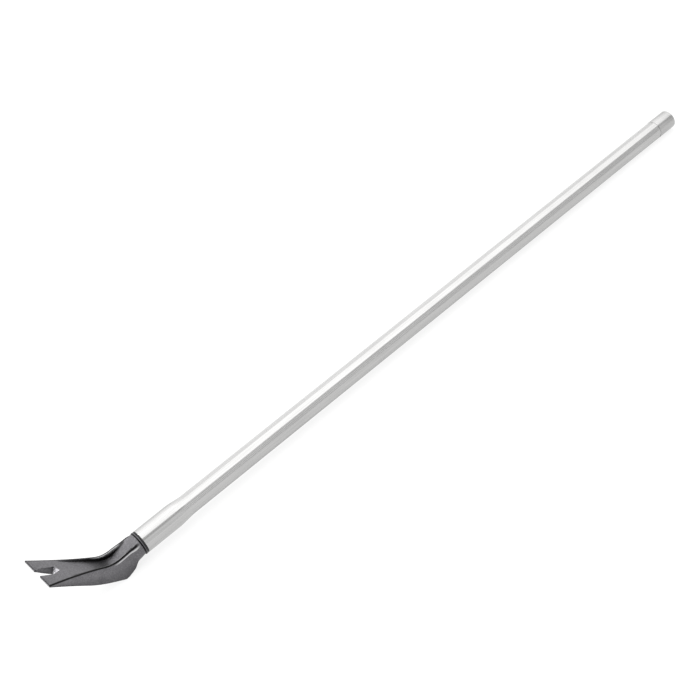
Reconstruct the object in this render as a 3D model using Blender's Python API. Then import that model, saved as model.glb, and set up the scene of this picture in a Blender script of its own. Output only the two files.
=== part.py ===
"""Long-handled roofing pry tool: a forked cast head on a ribbed aluminium tube.

The tool is laid out in its own frame, then the whole assembly is tilted to rest on the floor.
Tool frame: X runs along the handle from the collar's mouth to the far end, Z is the hollow side
of the head, and the XZ plane is the plane of symmetry.  World frame: metres, +Z up, the origin
under the middle of the resting tool.
"""
import math

import bmesh
import bpy
from mathutils import Vector

# Clearance between neighbouring pieces
GAP = 0.0003

# Handle tube
HANDLE_LENGTH = 1.2246       # collar's mouth to the end cap's outer face
COLLAR_DIAMETER = 0.0380
COLLAR_STRAIGHT = 0.058      # plain round length at the collar's mouth
COLLAR_TAPER = 0.032         # length over which the round collar turns into the ribbed section
TUBE_CORNER_DIAMETER = 0.0336
TUBE_WALL = 0.0018
MOUTH_CHAMFER = 0.0004
LAND_STEP = 0.0006           # bevel where the ribs stop at the end cap
BORE_STEP = 0.0080           # ahead of the end cap, where the bore starts to narrow
FACETS = 12                  # alternately plain and grooved
FACET_START = math.radians(6.5)
GROOVES_PER_FACET = 3
GROOVE_PITCH = 0.0022
GROOVE_WIDTH = 0.0006
GROOVE_DEPTH = 0.00022
PLAIN_FACET_CROWN = 0.00010  # how far a plain facet bulges

# End cap
CAP_DIAMETER = 0.0338
CAP_LENGTH = 0.040
CAP_WALL = 0.0014
CAP_END_THICKNESS = 0.0030
CAP_EDGE_RADIUS = 0.0012

# Head: side profile
BLADE_LENGTH = 0.1134        # along the slope, from the front edge to the bend
BLADE_SLOPE = math.radians(36.3)
BEND_REACH = 0.0566          # from the collar's mouth to the bend
BEND_RADIUS = 0.040
RIM_HEIGHT = 0.0134          # the rims' height over the handle's axis
EDGE_THICKNESS = 0.0030      # blunt front face, square to the blade
UNDERSIDE_SLOPE = math.radians(50.8)
UNDERSIDE_FLAT = 0.0775      # straight part of the underside, from the front edge
HEEL_REACH = 0.0435          # from the collar's mouth to the back of the heel's rest land
HEEL_DEPTH = 0.0275          # the rest land's depth under the handle's axis
HEEL_LAND = 0.0048
NECK_REACH = 0.0155          # where the heel's back meets the round neck
LOWER_EDGE_RADIUS = 0.0010
BELLY_CROWN = 0.0032         # how far the underside bulges along its middle
BELLY_START = 0.0090         # length from the front edge over which the bulge grows

# Head: plan
BLADE_WIDTH = 0.0700
WAIST_WIDTH = 0.0292
FLARE_POWER = 1.55

# Head: neck, shoulder and tang
NECK_STEP = 0.0013           # the neck's, shoulder's and liner flange's radii are this much less
SHOULDER_STEP = 0.0001       # than the collar's
LINER_FLANGE_STEP = 0.0005
SHOULDER_THICKNESS = 0.0031
SHOULDER_EDGE = 0.0003
LINER_FLANGE_THICKNESS = 0.0015
LINER_WALL = 0.0016
LINER_LENGTH = 0.038
TANG_LENGTH = 0.052
TANG_CHAMFER = 0.0010

# Head: channel between the two rims
CHANNEL_START = 0.036        # from the front edge, along the blade
CHANNEL_DEPTH = 0.0085
CHANNEL_END_REACH = 0.0165   # from the collar's mouth to where the floor has risen again
CHANNEL_RUNOUT = 0.028       # length over which the floor rises
RIM_WIDTH = 0.0026
CHANNEL_WALL_RUN = 0.0018

# Nail slot: corners (along the blade from its front edge, across it); one side slants in to grip
SLOT_CORNERS = ((0.0, 0.0066), (0.0110, 0.0092), (0.0315, 0.0088),
                (0.0350, -0.0018), (0.0200, -0.0092), (0.0, -0.0078))

# Blind rivets under the collar
RIVET_REACHES = {"front": 0.0150, "rear": 0.0290}
RIVET_SHANK_DIAMETER = 0.0048
RIVET_HEAD_DIAMETER = 0.0086
RIVET_HEAD_HEIGHT = 0.0013
RIVET_DOME = ((0.35, 1.0), (0.8, 0.72), (1.0, 0.45))   # shares of the head's height and radius
RIVET_DEPTH = 0.0080         # how far a rivet reaches into the tang
MANDREL_DIAMETER = 0.0020
MANDREL_RECESS = 0.0006

# How far cutters reach beyond the head, and how far the head's first section lies ahead of its nose
CUTTER_REACH = 0.020
NOSE_SPARE = 0.0025

# Fineness
TURNED_SEGMENTS = 48
RIVET_SEGMENTS = 20

# Derived sizes
NECK_DIAMETER = COLLAR_DIAMETER - 2 * NECK_STEP
SHOULDER_DIAMETER = COLLAR_DIAMETER - 2 * SHOULDER_STEP
LINER_FLANGE_DIAMETER = COLLAR_DIAMETER - 2 * LINER_FLANGE_STEP
COLLAR_BORE_RADIUS = COLLAR_DIAMETER / 2 - TUBE_WALL
LINER_RADIUS = COLLAR_BORE_RADIUS - GAP
TANG_RADIUS = LINER_RADIUS - LINER_WALL - GAP
CAP_BORE_RADIUS = CAP_DIAMETER / 2 - CAP_WALL
LAND_RADIUS = CAP_BORE_RADIUS - GAP
LINER_FACE = -GAP
SHOULDER_FACE = LINER_FACE - LINER_FLANGE_THICKNESS - GAP
NECK_END = SHOULDER_FACE - SHOULDER_THICKNESS
TIP_X = -BEND_REACH - BLADE_LENGTH * math.cos(BLADE_SLOPE)
TIP_Z = RIM_HEIGHT + BLADE_LENGTH * math.sin(BLADE_SLOPE)
NOSE_X = TIP_X - EDGE_THICKNESS * math.sin(BLADE_SLOPE)
NOSE_Z = TIP_Z - EDGE_THICKNESS * math.cos(BLADE_SLOPE)
LAND_FRONT_X = -HEEL_REACH - HEEL_LAND
CHANNEL_START_X = TIP_X + CHANNEL_START * math.cos(BLADE_SLOPE)
BLADE_ALONG = Vector((math.cos(BLADE_SLOPE), 0, -math.sin(BLADE_SLOPE)))
BLADE_OUT = Vector((math.sin(BLADE_SLOPE), 0, math.cos(BLADE_SLOPE)))
REST_TILT = math.atan2(HEEL_DEPTH - CAP_DIAMETER / 2, HANDLE_LENGTH + HEEL_REACH)


def share_of(value, low, high):
    """0 below low, 1 above high, and straight between them."""
    return min(1.0, max(0.0, (value - low) / (high - low)))


def smooth(value, low, high):
    """0 below low, 1 above high, with a smooth S between them."""
    t = share_of(value, low, high)
    return t * t * (3 - 2 * t)


def remove_old_objects():
    for old in list(bpy.data.objects):
        bpy.data.objects.remove(old, do_unlink=True)


def make_material(name, colour, metallic, roughness):
    material = bpy.data.materials.new(name)
    material.use_nodes = True
    shader = material.node_tree.nodes["Principled BSDF"]
    shader.inputs["Base Color"].default_value = (*colour, 1.0)
    shader.inputs["Metallic"].default_value = metallic
    shader.inputs["Roughness"].default_value = roughness
    return material


def finish_object(name, shape, material, parent, smooth_angle=30):
    """Turn a bmesh into an object with its faces out, its material and its parent."""
    bmesh.ops.recalc_face_normals(shape, faces=shape.faces)
    mesh = bpy.data.meshes.new(name)
    shape.to_mesh(mesh)
    shape.free()
    mesh.shade_smooth()
    mesh.set_sharp_from_angle(angle=math.radians(smooth_angle))
    piece = bpy.data.objects.new(name, mesh)
    piece.parent = parent
    if material:
        piece.data.materials.append(material)
    bpy.context.scene.collection.objects.link(piece)
    return piece


def bridge(shape, rings):
    """Skin a list of closed vertex rings of equal length."""
    for ring, following in zip(rings, rings[1:]):
        for i in range(len(ring)):
            j = (i + 1) % len(ring)
            shape.faces.new((ring[i], ring[j], following[j], following[i]))


def loft(shape, sections):
    """Skin closed sections and close both ends with a flat face."""
    rings = [[shape.verts.new(point) for point in section] for section in sections]
    bridge(shape, rings)
    shape.faces.new(rings[0])
    shape.faces.new(rings[-1])


def turned(shape, profile, segments, place):
    """Turn a closed profile of (along, radius) points round an axis; place sets each point."""
    rings = []
    for k in range(segments):
        angle = 2 * math.pi * k / segments
        rings.append([shape.verts.new(place(along, radius, angle)) for along, radius in profile])
    bridge(shape, rings + rings[:1])


def round_bar(shape, profile, segments, place):
    """Turn an open profile whose two ends are closed by flat discs."""
    loft(shape, [[place(along, radius, 2 * math.pi * k / segments) for k in range(segments)]
                 for along, radius in profile])


def along_x(along, radius, angle):
    return Vector((along, -radius * math.sin(angle), -radius * math.cos(angle)))


def down_at(reach):
    """Places a turned profile on a line straight down through the handle at reach."""
    def place(along, radius, angle):
        return Vector((reach + radius * math.cos(angle), radius * math.sin(angle), -along))
    return place


def cut(piece, cutter):
    """Take cutter out of piece, and hide the cutter."""
    cutter.hide_render = True
    cutter.display_type = "WIRE"
    boolean = piece.modifiers.new("cut_" + cutter.name, "BOOLEAN")
    boolean.operation = "DIFFERENCE"
    boolean.solver = "EXACT"
    boolean.object = cutter


# ---------------------------------------------------------------- head

def rim_height(x):
    """Height of the rims: the blade's slope, the bend's arc, then level along the neck."""
    tangent = BEND_RADIUS * math.tan(BLADE_SLOPE / 2)
    ahead = -BEND_REACH - x
    if ahead >= tangent * math.cos(BLADE_SLOPE):
        return RIM_HEIGHT + ahead * math.tan(BLADE_SLOPE)
    if ahead <= -tangent:
        return RIM_HEIGHT
    return RIM_HEIGHT + BEND_RADIUS - math.sqrt(BEND_RADIUS ** 2 - (ahead + tangent) ** 2)


def underside_height(x):
    """Height of the underside: straight, then the rocker's arc, the rest land and the heel's back."""
    flat_end_x = NOSE_X + UNDERSIDE_FLAT * math.cos(UNDERSIDE_SLOPE)
    if x <= flat_end_x:
        return NOSE_Z - (x - NOSE_X) * math.tan(UNDERSIDE_SLOPE)
    if x < LAND_FRONT_X:
        return rocker_height(x, flat_end_x, NOSE_Z - UNDERSIDE_FLAT * math.sin(UNDERSIDE_SLOPE))
    if x <= -HEEL_REACH:
        return land_height(x)
    t = min(1.0, (x + HEEL_REACH) / (HEEL_REACH - NECK_REACH))
    return land_height(-HEEL_REACH) * (1 - t) - neck_radius(x) * t


def belly_crown(x):
    """The underside is flat across at the front edge and at the rest land, and bulges between."""
    grow = smooth(x, NOSE_X, NOSE_X + BELLY_START)
    return BELLY_CROWN * grow * (1 - smooth(x, 2 * LAND_FRONT_X, LAND_FRONT_X))


def land_height(x):
    """The rest land lies in the plane that also touches the end cap."""
    return -HEEL_DEPTH + (x + HEEL_REACH) * math.tan(REST_TILT)


def rocker_height(x, start_x, start_z):
    """An arc that leaves the straight underside tangentially and ends at the rest land."""
    step_x = LAND_FRONT_X - start_x
    step_z = land_height(LAND_FRONT_X) - start_z
    off_line = step_x * math.sin(UNDERSIDE_SLOPE) + step_z * math.cos(UNDERSIDE_SLOPE)
    radius = (step_x ** 2 + step_z ** 2) / (2 * off_line)
    centre_x = start_x + radius * math.sin(UNDERSIDE_SLOPE)
    centre_z = start_z + radius * math.cos(UNDERSIDE_SLOPE)
    return centre_z - math.sqrt(radius ** 2 - (x - centre_x) ** 2)


def neck_radius(x):
    """The neck is slimmest at the shoulder and swells a little towards the heel."""
    swell = 0.5 * (SHOULDER_DIAMETER - NECK_DIAMETER)
    return NECK_DIAMETER / 2 + swell * smooth(-x, -NECK_END, NECK_REACH)


def half_width(x):
    """Half the width over the rims: a flared blade, then the waist, then the neck's flat top."""
    blade_share = min(1.0, (x - TIP_X) / (-BEND_REACH - TIP_X))
    flare = (BLADE_WIDTH - WAIST_WIDTH) / 2 * (1 - blade_share) ** FLARE_POWER
    flat_top = math.sqrt(neck_radius(x) ** 2 - RIM_HEIGHT ** 2)
    to_neck = smooth(x, -HEEL_REACH, -NECK_REACH)
    return (WAIST_WIDTH / 2 + flare) * (1 - to_neck) + flat_top * to_neck


def channel_depth(x):
    """The floor falls away slowly behind the slot and rises again before the shoulder."""
    fall = share_of(x, CHANNEL_START_X, -BEND_REACH)
    rise = share_of(x, -CHANNEL_END_REACH - CHANNEL_RUNOUT, -CHANNEL_END_REACH)
    return CHANNEL_DEPTH * fall * (1 - rise)


def head_half_section(x, wall_steps=4, side_steps=16):
    """Points (y, z) from the top's middle round one side to the underside's middle."""
    top = rim_height(x)
    bottom = underside_height(x)
    outer = half_width(x)
    inner = outer - RIM_WIDTH
    depth = channel_depth(x)
    radius = neck_radius(x)
    round_top = smooth(x, -NECK_REACH, NECK_END)
    round_side = smooth(x, -(HEEL_REACH + NECK_REACH) / 2, -NECK_REACH)

    def crowned(y, z):
        crown = math.sqrt(max(0.0, radius ** 2 - y ** 2)) - RIM_HEIGHT
        return (y, z + round_top * crown)

    points = [crowned(share * (inner - CHANNEL_WALL_RUN), top - depth) for share in (0.0, 0.5)]
    for k in range(wall_steps + 1):
        share = k / wall_steps
        y = inner - CHANNEL_WALL_RUN * (1 - share)
        points.append(crowned(y, top - depth * (1 - smooth(share, 0, 1))))
    points.append((outer, top))

    start = math.asin(min(1.0, RIM_HEIGHT / radius))
    for k in range(1, side_steps + 1):
        share = k / side_steps
        boxed = boxed_side(share, outer, top, bottom, belly_crown(x))
        angle = start - share * (start + math.pi / 2)
        drop = radius if angle > 0 else -bottom
        rounded = (radius * math.cos(angle), drop * math.sin(angle))
        points.append(tuple(a * (1 - round_side) + b * round_side for a, b in zip(boxed, rounded)))
    return points


def boxed_side(share, outer, top, bottom, crown):
    """A point on a straight side wall, its rounded lower edge and the crowned underside."""
    wall_share, edge_share = 0.3, 0.5
    radius = min(LOWER_EDGE_RADIUS, (top - bottom) / 3)
    if share <= wall_share:
        return (outer, top + (bottom + radius - top) * share / wall_share)
    if share <= edge_share:
        angle = (share - wall_share) / (edge_share - wall_share) * math.pi / 2
        return (outer - radius * (1 - math.cos(angle)), bottom + radius * (1 - math.sin(angle)))
    across = (1 - share) / (1 - edge_share)
    return ((outer - radius) * across, bottom - crown * (1 - across ** 2))


def head_stations():
    """Places along X where the head's section is taken, from just ahead of the front face."""
    spans = ((NOSE_X - NOSE_SPARE, CHANNEL_START_X, 6), (CHANNEL_START_X, -BEND_REACH - 0.020, 5),
             (-BEND_REACH - 0.020, LAND_FRONT_X, 6), (LAND_FRONT_X, -HEEL_REACH, 1),
             (-HEEL_REACH, -NECK_REACH, 8), (-NECK_REACH, NECK_END, 6))
    stations = [spans[0][0]]
    for low, high, steps in spans:
        stations += [low + (high - low) * k / steps for k in range(1, steps + 1)]
    return stations


def mirrored_section(x, half):
    """A closed section from its right half, whose first and last points are on the middle."""
    right = [Vector((x, y, z)) for y, z in half]
    left = [Vector((x, -y, z)) for y, z in half[-2:0:-1]]
    return right + left


def make_blade_cutter(name, outline, rises, parent):
    """A prism square to the blade's upper face; outline holds (along, across) from the edge's middle."""
    tip = Vector((TIP_X, 0, TIP_Z))
    shape = bmesh.new()
    loft(shape, [[tip + BLADE_ALONG * u + BLADE_OUT * rise + Vector((0, v, 0)) for u, v in outline]
                 for rise in rises])
    return finish_object(name, shape, None, parent)


def make_slot_cutter(parent):
    """The nail slot, narrower at its mouth, cut from above the blade to below its underside."""
    ahead = -CUTTER_REACH
    outline = [(ahead, SLOT_CORNERS[0][1]), *SLOT_CORNERS, (ahead, SLOT_CORNERS[-1][1])]
    return make_blade_cutter("slot_cutter", outline, (CUTTER_REACH, -BLADE_WIDTH), parent)


def make_front_cutter(parent):
    """Everything ahead of the blunt front face."""
    across = BLADE_WIDTH
    outline = ((0.0, -across), (0.0, across), (-CUTTER_REACH, across), (-CUTTER_REACH, -across))
    return make_blade_cutter("front_cutter", outline, (CUTTER_REACH, -CUTTER_REACH), parent)


def make_rivet_hole_cutter(parent):
    """Both rivet holes, from outside the collar to the bottom of the holes in the tang."""
    shape = bmesh.new()
    bottom = TANG_RADIUS - RIVET_DEPTH - GAP
    radius = RIVET_SHANK_DIAMETER / 2 + GAP
    profile = ((COLLAR_DIAMETER / 2 + 0.002, radius), (bottom, radius))
    for reach in RIVET_REACHES.values():
        round_bar(shape, profile, RIVET_SEGMENTS, down_at(reach))
    return finish_object("rivet_hole_cutter", shape, None, parent)


def make_head(material, parent):
    """Blade, heel and neck in one casting, with the shoulder and the tang that enters the tube."""
    sections = [mirrored_section(x, head_half_section(x)) for x in head_stations()]
    count = len(sections[0])
    angles = [math.atan2(-p.y, -p.z) for p in sections[-1]]
    edge = SHOULDER_EDGE
    radius = SHOULDER_DIAMETER / 2
    for x, radius in ((NECK_END, radius - edge), (NECK_END + edge, radius), (SHOULDER_FACE - edge, radius),
                      (SHOULDER_FACE, radius - edge), (SHOULDER_FACE, TANG_RADIUS),
                      (TANG_LENGTH - TANG_CHAMFER, TANG_RADIUS), (TANG_LENGTH, TANG_RADIUS - TANG_CHAMFER)):
        sections.append([along_x(x, radius, angles[k]) for k in range(count)])
    shape = bmesh.new()
    loft(shape, sections)
    return finish_object("head_casting", shape, material, parent)


# ---------------------------------------------------------------- handle

def facet_points():
    """One turn of the ribbed outline as (angle, radius, groove) with groove 1 at a groove's bottom."""
    corner = TUBE_CORNER_DIAMETER / 2
    pitch = 2 * math.pi / FACETS
    flat = corner * math.cos(pitch / 2)
    points = []
    for facet in range(FACETS):
        middle = FACET_START + (facet + 0.5) * pitch
        offsets = [(-corner * math.sin(pitch / 2), 0.0, 0.0)]
        if facet % 2:
            for k in range(GROOVES_PER_FACET):
                centre = (k - (GROOVES_PER_FACET - 1) / 2) * GROOVE_PITCH
                offsets += [(centre - GROOVE_WIDTH / 2, 0.0, 0.0), (centre, 0.0, 1.0),
                            (centre + GROOVE_WIDTH / 2, 0.0, 0.0)]
        else:
            offsets.append((0.0, PLAIN_FACET_CROWN, 0.0))
        for offset, bulge, groove in offsets:
            out = flat + bulge
            points.append((middle + math.atan2(offset, out), math.hypot(offset, out), groove))
    return points


def around_x(x, radius, angle):
    """angle is measured from +Z towards -Y."""
    return Vector((x, -radius * math.sin(angle), radius * math.cos(angle)))


def tube_ring(x, round_radius, ribbed, inset):
    """A ring that is round for ribbed 0 and follows the ribbed outline, less inset, for 1."""
    ring = []
    for angle, radius, groove in facet_points():
        groove_depth = GROOVE_DEPTH * groove if inset == 0 else 0.0
        ribbed_radius = radius - groove_depth - inset
        ring.append(around_x(x, round_radius * (1 - ribbed) + ribbed_radius * ribbed, angle))
    return ring


def make_tube(material, parent):
    """Drawn tube: round collar, ribbed length, and a reduced round land under the end cap."""
    taper_steps = 6
    shoulder = HANDLE_LENGTH - CAP_LENGTH - GAP
    tube_end = HANDLE_LENGTH - CAP_END_THICKNESS - GAP
    outer_radius = COLLAR_DIAMETER / 2
    outer = [tube_ring(0.0, outer_radius - MOUTH_CHAMFER, 0, 0), tube_ring(MOUTH_CHAMFER, outer_radius, 0, 0)]
    inner = [tube_ring(0.0, COLLAR_BORE_RADIUS, 0, 0)]
    for k in range(taper_steps + 1):
        share = k / taper_steps
        x = COLLAR_STRAIGHT + COLLAR_TAPER * share
        outer.append(tube_ring(x, outer_radius, smooth(share, 0, 1), 0))
        inner.append(tube_ring(x, COLLAR_BORE_RADIUS, smooth(share, 0, 1), TUBE_WALL))
    outer += [tube_ring(shoulder - 2 * LAND_STEP, 0, 1, 0),
              tube_ring(shoulder, LAND_RADIUS + LAND_STEP, 0, 0),
              tube_ring(shoulder, LAND_RADIUS, 0, 0), tube_ring(tube_end, LAND_RADIUS, 0, 0)]
    land_bore = LAND_RADIUS - CAP_WALL
    inner += [tube_ring(shoulder - BORE_STEP, 0, 1, TUBE_WALL),
              tube_ring(shoulder - BORE_STEP / 4, land_bore, 0, 0), tube_ring(tube_end, land_bore, 0, 0)]
    shape = bmesh.new()
    skin = [[shape.verts.new(point) for point in ring] for ring in outer + inner[::-1]]
    bridge(shape, skin + skin[:1])
    return finish_object("handle_tube", shape, material, parent, smooth_angle=12)


def make_liner(material, parent):
    """Flanged sleeve between the tang and the collar; its flange shows as the ring at the shoulder."""
    bore = TANG_RADIUS + GAP
    back = LINER_FACE - LINER_FLANGE_THICKNESS
    profile = ((back, bore), (back, LINER_FLANGE_DIAMETER / 2), (LINER_FACE, LINER_FLANGE_DIAMETER / 2),
               (LINER_FACE, LINER_RADIUS), (LINER_LENGTH, LINER_RADIUS), (LINER_LENGTH, bore))
    shape = bmesh.new()
    turned(shape, profile, TURNED_SEGMENTS, along_x)
    return finish_object("collar_liner", shape, material, parent)


def make_end_cap(material, parent):
    """Skirted cap pushed over the tube's reduced end."""
    outer = CAP_DIAMETER / 2
    mouth = HANDLE_LENGTH - CAP_LENGTH
    steps = 3
    sections = [(mouth, outer - GAP), (mouth + GAP, outer)]
    for k in range(steps + 1):
        angle = k / steps * math.pi / 2
        sections.append((HANDLE_LENGTH - CAP_EDGE_RADIUS * (1 - math.sin(angle)),
                         outer - CAP_EDGE_RADIUS * (1 - math.cos(angle))))
    shape = bmesh.new()
    rings = [[shape.verts.new(along_x(x, radius, 2 * math.pi * k / TURNED_SEGMENTS))
              for k in range(TURNED_SEGMENTS)]
             for x, radius in [(HANDLE_LENGTH - CAP_END_THICKNESS, CAP_BORE_RADIUS),
                               (mouth, CAP_BORE_RADIUS)] + sections]
    bridge(shape, rings)
    shape.faces.new(rings[0])
    shape.faces.new(rings[-1])
    return finish_object("end_cap", shape, material, parent)


# ---------------------------------------------------------------- rivets

def make_rivet_body(name, reach, material, parent):
    """A blind rivet's body: a domed head outside the collar and a hollow shank."""
    seat = COLLAR_DIAMETER / 2 + GAP
    shank_end = TANG_RADIUS - RIVET_DEPTH
    bore = MANDREL_DIAMETER / 2 + GAP
    head = RIVET_HEAD_DIAMETER / 2
    shank = RIVET_SHANK_DIAMETER / 2
    profile = [(shank_end, bore), (shank_end, shank), (seat, shank), (seat, head)]
    profile += [(seat + rise * RIVET_HEAD_HEIGHT, width * head) for rise, width in RIVET_DOME]
    profile.append((seat + RIVET_HEAD_HEIGHT, bore))
    shape = bmesh.new()
    turned(shape, profile, RIVET_SEGMENTS, down_at(reach))
    return finish_object(name, shape, material, parent)


def make_rivet_mandrel(name, reach, material, parent):
    """The pin left inside a rivet once it is pulled."""
    outside = COLLAR_DIAMETER / 2 + GAP + RIVET_HEAD_HEIGHT - MANDREL_RECESS
    profile = ((outside, MANDREL_DIAMETER / 2), (TANG_RADIUS - RIVET_DEPTH, MANDREL_DIAMETER / 2))
    shape = bmesh.new()
    round_bar(shape, profile, RIVET_SEGMENTS, down_at(reach))
    return finish_object(name, shape, material, parent)


# ---------------------------------------------------------------- assembly

def rest_on_floor(frame, pieces):
    """Tilt the tool until the heel and the cap touch the floor, and centre it over the origin."""
    frame.rotation_euler = (0, REST_TILT, 0)
    rotation = frame.rotation_euler.to_matrix()
    bpy.context.view_layer.update()
    seen = bpy.context.evaluated_depsgraph_get()
    corners = [rotation @ vertex.co for piece in pieces
               for vertex in piece.evaluated_get(seen).data.vertices]
    lows = [min(c[axis] for c in corners) for axis in range(3)]
    highs = [max(c[axis] for c in corners) for axis in range(3)]
    frame.location = (-(lows[0] + highs[0]) / 2, -(lows[1] + highs[1]) / 2, -lows[2])


def main():
    remove_old_objects()
    frame = bpy.data.objects.new("tool_frame", None)
    bpy.context.scene.collection.objects.link(frame)

    cast = make_material("cast_head_paint", (0.085, 0.085, 0.092), 0.0, 0.45)
    aluminium = make_material("drawn_aluminium", (0.80, 0.81, 0.82), 1.0, 0.32)
    nylon = make_material("black_nylon", (0.02, 0.02, 0.02), 0.0, 0.5)
    cap_grey = make_material("cap_silver", (0.70, 0.71, 0.72), 1.0, 0.40)
    steel = make_material("rivet_steel", (0.55, 0.55, 0.56), 1.0, 0.35)

    head = make_head(cast, frame)
    tube = make_tube(aluminium, frame)
    liner = make_liner(nylon, frame)
    pieces = [head, tube, liner, make_end_cap(cap_grey, frame)]
    for place, reach in RIVET_REACHES.items():
        pieces.append(make_rivet_body("rivet_body_" + place, reach, steel, frame))
        pieces.append(make_rivet_mandrel("rivet_mandrel_" + place, reach, steel, frame))

    cut(head, make_slot_cutter(frame))
    cut(head, make_front_cutter(frame))
    rivet_holes = make_rivet_hole_cutter(frame)
    for drilled in (head, tube, liner):
        cut(drilled, rivet_holes)
    rest_on_floor(frame, pieces)


main()
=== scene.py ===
"""The looks of a long-handled roofing pry tool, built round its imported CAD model.

Pieces are modelled in the tool's own frame: X runs along the handle from the collar's mouth to the
far end, Z is the hollow side of the head, and XZ is the middle plane. The head is the same on both
sides of it, apart from the nail slot.
tool_frame() places them in the world, where the tool lies on its heel and its end cap.
"""

import math

import bmesh
import bpy
import numpy as np
from mathutils import Matrix, Vector


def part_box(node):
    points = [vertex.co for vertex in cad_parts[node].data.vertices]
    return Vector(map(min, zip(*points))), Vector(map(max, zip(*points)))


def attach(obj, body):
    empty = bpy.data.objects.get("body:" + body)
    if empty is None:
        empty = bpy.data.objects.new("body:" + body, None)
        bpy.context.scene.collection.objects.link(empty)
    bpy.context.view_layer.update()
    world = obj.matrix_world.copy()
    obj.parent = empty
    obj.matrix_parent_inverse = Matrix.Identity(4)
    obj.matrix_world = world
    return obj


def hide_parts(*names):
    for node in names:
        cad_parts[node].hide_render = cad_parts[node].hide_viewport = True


# Clearance between neighbouring pieces
GAP = 0.0003

# Handle tube
HANDLE_LENGTH = 1.2246       # collar's mouth to the end cap's outer face
COLLAR_DIAMETER = 0.0380
COLLAR_STRAIGHT = 0.058      # plain round length at the collar's mouth
COLLAR_TAPER = 0.032         # length over which the round collar turns into the ribbed section
COLLAR_EDGE_RADIUS = 0.0004
TUBE_CORNER_DIAMETER = 0.0336
TUBE_WALL = 0.0018
FACETS = 12                  # alternately plain and grooved
FACET_START = math.radians(6.5)
CORNER_ROUNDING = 0.0007
GROOVES_PER_FACET = 3
GROOVE_PITCH = 0.0022
GROOVE_WIDTH = 0.0008
GROOVE_DEPTH = 0.00010
PLAIN_FACET_CROWN = 0.00010  # how far a plain facet bulges

# End cap
CAP_DIAMETER = 0.0338
CAP_LENGTH = 0.040
CAP_WALL = 0.0014
CAP_END_THICKNESS = 0.0030
CAP_EDGE_RADIUS = 0.0012
BORE_STEP = (0.008, 0.002)   # before the cap's mouth, from where to where the tube's bore turns round

# Head: side profile
BLADE_LENGTH = 0.1134        # along the slope, from the front edge to the bend
BLADE_SLOPE = math.radians(36.3)
BEND_REACH = 0.0566          # from the collar's mouth to the bend
BEND_RADIUS = 0.040
RIM_HEIGHT = 0.0134          # the rims' height over the handle's axis
EDGE_THICKNESS = 0.0030      # blunt front face, square to the blade
UNDERSIDE_SLOPE = math.radians(50.8)
UNDERSIDE_FLAT = 0.0775      # straight part of the underside, from the front edge
HEEL_REACH = 0.0435          # from the collar's mouth to the back of the heel's rest land
HEEL_DEPTH = 0.0275          # the rest land's depth under the handle's axis
HEEL_LAND = 0.0048
NECK_REACH = 0.0155          # where the heel's back meets the round neck
LOWER_EDGE_RADIUS = 0.0010
BELLY_CROWN = 0.0032         # how far the underside bulges along its middle
BELLY_START = 0.0090         # length from the front edge over which the bulge grows

# Head: plan
BLADE_WIDTH = 0.0700
WAIST_WIDTH = 0.0292
FLARE_POWER = 1.55

# Head: neck, shoulder and tang
NECK_STEP = 0.0013           # the neck's, shoulder's and liner flange's radii are this much less
SHOULDER_STEP = 0.0001       # than the collar's
LINER_FLANGE_STEP = 0.0005
SHOULDER_THICKNESS = 0.0031
LINER_FLANGE_THICKNESS = 0.0015
LINER_WALL = 0.0016
LINER_LENGTH = 0.038
TANG_LENGTH = 0.052

# Head: channel between the two rims
CHANNEL_START = 0.036        # from the front edge, along the blade
CHANNEL_DEPTH = 0.0085
CHANNEL_END_REACH = 0.0165   # from the collar's mouth to where the floor has risen again
CHANNEL_RUNOUT = 0.028       # length over which the floor rises
RIM_WIDTH = 0.0026
CHANNEL_WALL_RUN = 0.0018

# Nail slot: corners (along the blade from its front edge, across it); one side slants in to grip
SLOT_CORNERS = ((0.0, 0.0066), (0.0110, 0.0092), (0.0315, 0.0088),
                (0.0350, -0.0018), (0.0200, -0.0092), (0.0, -0.0078))

# Blind rivets under the collar
RIVET_REACHES = {"front": 0.0150, "rear": 0.0290}
RIVET_SHANK_DIAMETER = 0.0048
RIVET_HEAD_DIAMETER = 0.0086
RIVET_HEAD_HEIGHT = 0.0013
RIVET_DEPTH = 0.0080         # how far a rivet reaches into the tang
MANDREL_DIAMETER = 0.0020
MANDREL_RECESS = 0.0006

# The mandrel's ragged end: (depth under its outermost point, share of its radius), from the rim inwards
MANDREL_BREAK = ((0.0001, 1.0), (0.0, 0.85), (0.00015, 0.45), (0.0, 0.12))

# How far cutters reach beyond the head, and how far the head's first section lies ahead of its nose
CUTTER_REACH = 0.020
NOSE_SPARE = 0.0025
HOLE_SPARE = 0.002           # how far outside the collar the rivet holes' cutter starts

# Fineness
TURNED_SEGMENTS = 128
RIVET_SEGMENTS = 48
HEAD_STEP = 0.0016           # between the head's sections
CAST_GRID = 0.00045          # grid on which the casting's skin is laid, which rounds its edges
CAST_SMOOTHING = 2           # passes
CAST_SMOOTHING_SHARE = 0.5
EDGE_TURN = 130.0            # curvature, in 1/m, above which the skin counts as an edge
EDGE_SPREAD = 1              # rings of neighbours by which an edge's mark grows

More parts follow.
